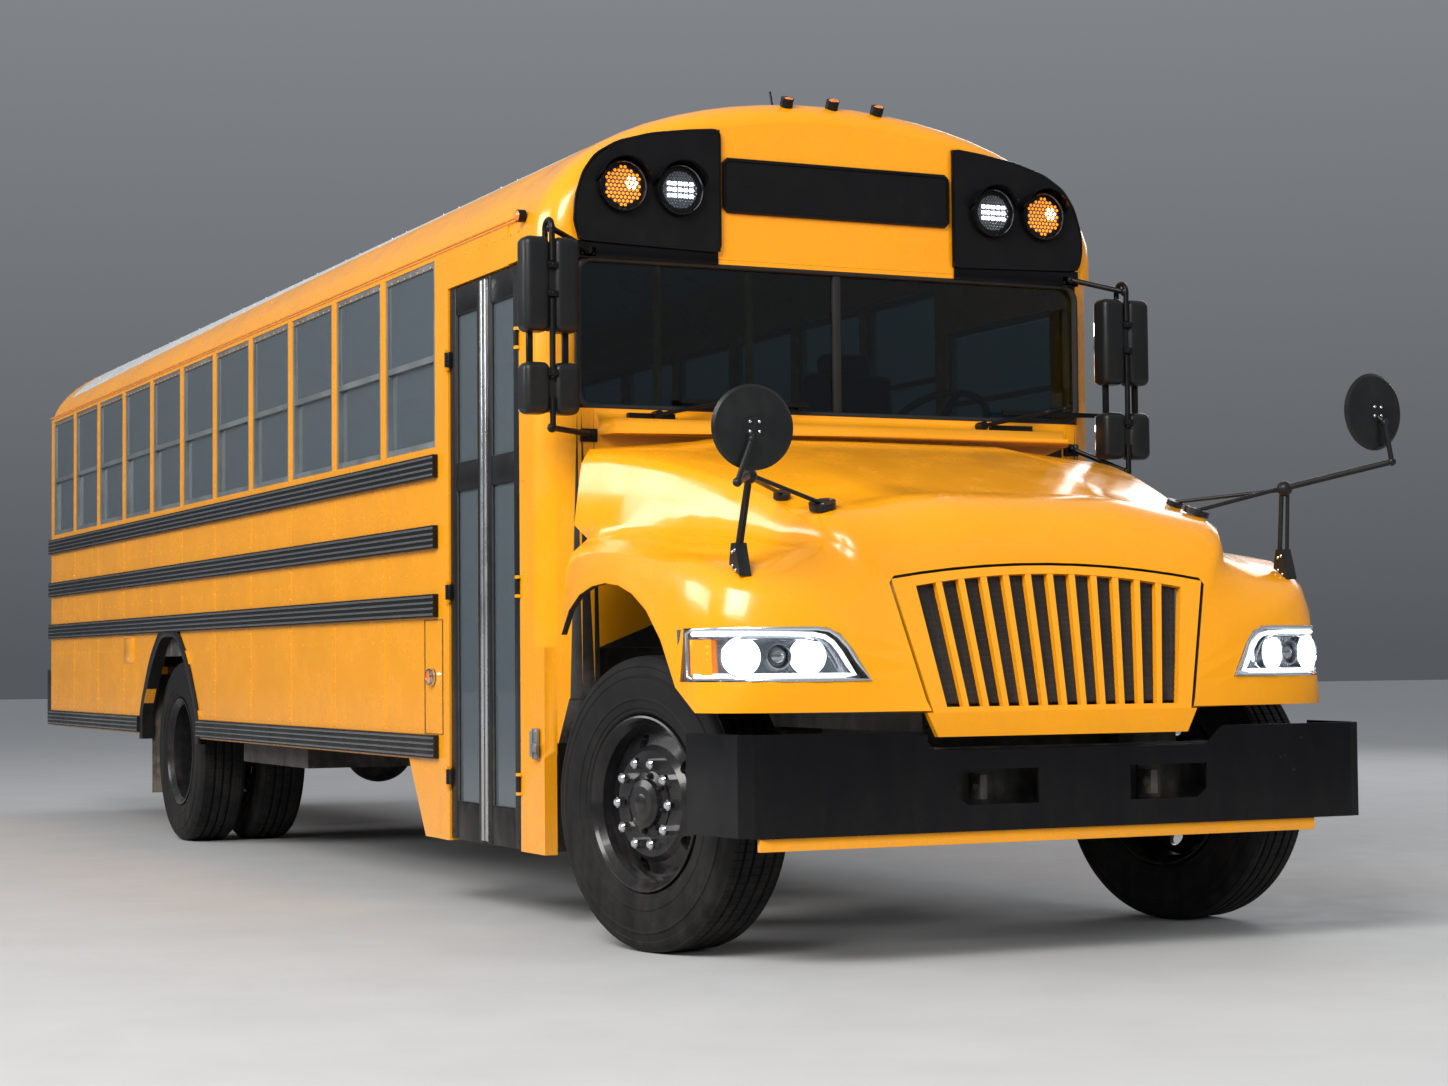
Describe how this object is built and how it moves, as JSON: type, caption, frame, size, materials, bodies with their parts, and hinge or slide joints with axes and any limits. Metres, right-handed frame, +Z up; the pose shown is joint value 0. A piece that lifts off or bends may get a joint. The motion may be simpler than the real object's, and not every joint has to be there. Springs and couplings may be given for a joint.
{
  "type": "school bus",
  "caption": "Long-nosed school bus with a tilting hood, folding entrance doors, a rear emergency door, roof hatches, a stop arm and steered front wheels.",
  "frame": {"origin": "on the ground, at the middle of the overall length and width", "axes": "+X forward, +Y to the driver's left, +Z up; the entrance is on the -Y side"},
  "size_m": [11.315, 2.737, 3.3365],
  "materials": {
    "body_paint": "gloss",
    "roof_paint": "gloss",
    "chassis_black": "satin",
    "engine_grey": "rough",
    "floor_rubber": "matte",
    "tinted_glass": "gloss",
    "window_metal": "satin",
    "trim_black": "gloss",
    "gloss_black": "gloss",
    "exhaust_steel": "dull",
    "seat_vinyl": "satin",
    "seat_fabric": "matte",
    "cab_plastic": "matte",
    "mirror_plastic": "satin",
    "lamp_red": "gloss",
    "flap_rubber": "matte",
    "rail_yellow": "gloss",
    "lamp_clear": "gloss",
    "sign_red": "satin",
    "tyre": "matte",
    "rim_black": "gloss"
  },
  "bodies": {
    "body": {"chassis_frame": "chassis_black", "engine_block": "engine_grey", "floor": "floor_rubber", "side_wall_right": "body_paint", "side_wall_left": "body_paint", "roof": "roof_paint", "front_cap": "body_paint", "cowl": "body_paint", "windshield": "tinted_glass", "rear_wall": "body_paint", "window_frames_right": "window_metal", "window_frames_left": "window_metal", "window_glass_right": "tinted_glass", "window_glass_left": "tinted_glass", "rub_rails": "trim_black", "front_bumper": "gloss_black", "rear_bumper": "gloss_black", "front_axle": "chassis_black", "rear_axle": "chassis_black", "driveshaft": "chassis_black", "fuel_tank": "chassis_black", "exhaust": "exhaust_steel", "passenger_seats": "seat_vinyl", "driver_seat": "seat_fabric", "dashboard": "cab_plastic", "side_mirrors": "mirror_plastic", "roof_lamps": "trim_black", "rear_lamps": "lamp_red", "wipers": "trim_black", "mud_flaps": "flap_rubber", "antenna": "trim_black", "grab_rails": "rail_yellow"},
    "hood": {"hood": "body_paint", "grille": "body_paint", "headlights": "lamp_clear", "crossview_mirrors": "mirror_plastic"},
    "entrance_leaf_front": {"door_leaf_front": "trim_black"},
    "entrance_leaf_rear": {"door_leaf_rear": "trim_black"},
    "rear_emergency_door": {"rear_door": "body_paint"},
    "roof_hatch_front": {"hatch_front": "roof_paint"},
    "roof_hatch_rear": {"hatch_rear": "roof_paint"},
    "stop_sign_arm": {"stop_arm": "sign_red"},
    "right_knuckle": {"knuckle_right": "chassis_black"},
    "left_knuckle": {"knuckle_left": "chassis_black"},
    "steering_tie_rod": {"tie_rod": "chassis_black"},
    "steering_wheel_body": {"steering_wheel": "cab_plastic"},
    "front_wheel_right": {"front_tyre_right": "tyre", "front_rim_right": "rim_black"},
    "front_wheel_left": {"front_tyre_left": "tyre", "front_rim_left": "rim_black"},
    "rear_wheels_right": {"rear_tyres_right": "tyre", "rear_rims_right": "rim_black"},
    "rear_wheels_left": {"rear_tyres_left": "tyre", "rear_rims_left": "rim_black"}
  },
  "joints": [
    {"name": "hood_tilt", "type": "hinge", "parent": "body", "child": "hood", "pos_m": [5.4205, 0, 0.78], "axis": [0, 1, 0], "range_deg": [0, 55]},
    {"name": "entrance_front_leaf_swing", "type": "hinge", "parent": "body", "child": "entrance_leaf_front", "pos_m": [3.5595, -1.227, 1.4], "axis": [0, 0, 1], "range_deg": [0, 88]},
    {"name": "entrance_rear_leaf_swing", "type": "hinge", "parent": "body", "child": "entrance_leaf_rear", "pos_m": [2.7545, -1.227, 1.4], "axis": [0, 0, -1], "range_deg": [0, 88]},
    {"name": "rear_door_swing", "type": "hinge", "parent": "body", "child": "rear_emergency_door", "pos_m": [-5.4675, -0.347, 1.9], "axis": [0, 0, 1], "range_deg": [0, 110]},
    {"name": "front_hatch_lift", "type": "hinge", "parent": "body", "child": "roof_hatch_front", "pos_m": [1.135, 0, 3.199], "axis": [0, 1, 0], "range_deg": [0, 80]},
    {"name": "rear_hatch_lift", "type": "hinge", "parent": "body", "child": "roof_hatch_rear", "pos_m": [-3.251, 0, 3.199], "axis": [0, 1, 0], "range_deg": [0, 80]},
    {"name": "stop_arm_swing", "type": "hinge", "parent": "body", "child": "stop_sign_arm", "pos_m": [2.5625, 1.273, 1.37], "axis": [0, 0, -1], "range_deg": [0, 90]},
    {"name": "right_steer", "type": "hinge", "parent": "body", "child": "right_knuckle", "pos_m": [4.6205, -0.88, 0.506], "axis": [0, 0, 1], "range_deg": [-48.3, 21.7]},
    {"name": "left_steer", "type": "hinge", "parent": "body", "child": "left_knuckle", "pos_m": [4.6205, 0.88, 0.506], "axis": [0, 0, 1], "range_deg": [-48.3, 21.7]},
    {"name": "tie_rod_pivot", "type": "hinge", "parent": "right_knuckle", "child": "steering_tie_rod", "pos_m": [4.41613, -0.92831, 0.352], "axis": [0, 0, 1], "range_deg": [-21.7, 48.3]},
    {"name": "steering_wheel_turn", "type": "hinge", "parent": "body", "child": "steering_wheel_body", "pos_m": [3.4702, 0.67, 1.9404], "axis": [-0.6, 0, 0.8], "range_deg": [-780, 352]},
    {"name": "front_right_spin", "type": "hinge", "parent": "right_knuckle", "child": "front_wheel_right", "pos_m": [4.66973, -1.08826, 0.506], "axis": [-0.23, 0.9732, 0], "continuous": true},
    {"name": "front_left_spin", "type": "hinge", "parent": "left_knuckle", "child": "front_wheel_left", "pos_m": [4.57127, 1.08826, 0.506], "axis": [-0.23, 0.9732, 0], "continuous": true},
    {"name": "rear_right_spin", "type": "hinge", "parent": "body", "child": "rear_wheels_right", "pos_m": [-1.9795, -1.05, 0.506], "axis": [0, 1, 0], "continuous": true},
    {"name": "rear_left_spin", "type": "hinge", "parent": "body", "child": "rear_wheels_left", "pos_m": [-1.9795, 1.05, 0.506], "axis": [0, 1, 0], "continuous": true}
  ],
  "couplings": [
    {"joint": "left_steer", "follows": "right_steer", "ratio": 1},
    {"joint": "tie_rod_pivot", "follows": "right_steer", "ratio": -1},
    {"joint": "steering_wheel_turn", "follows": "right_steer", "ratio": 16}
  ]
}
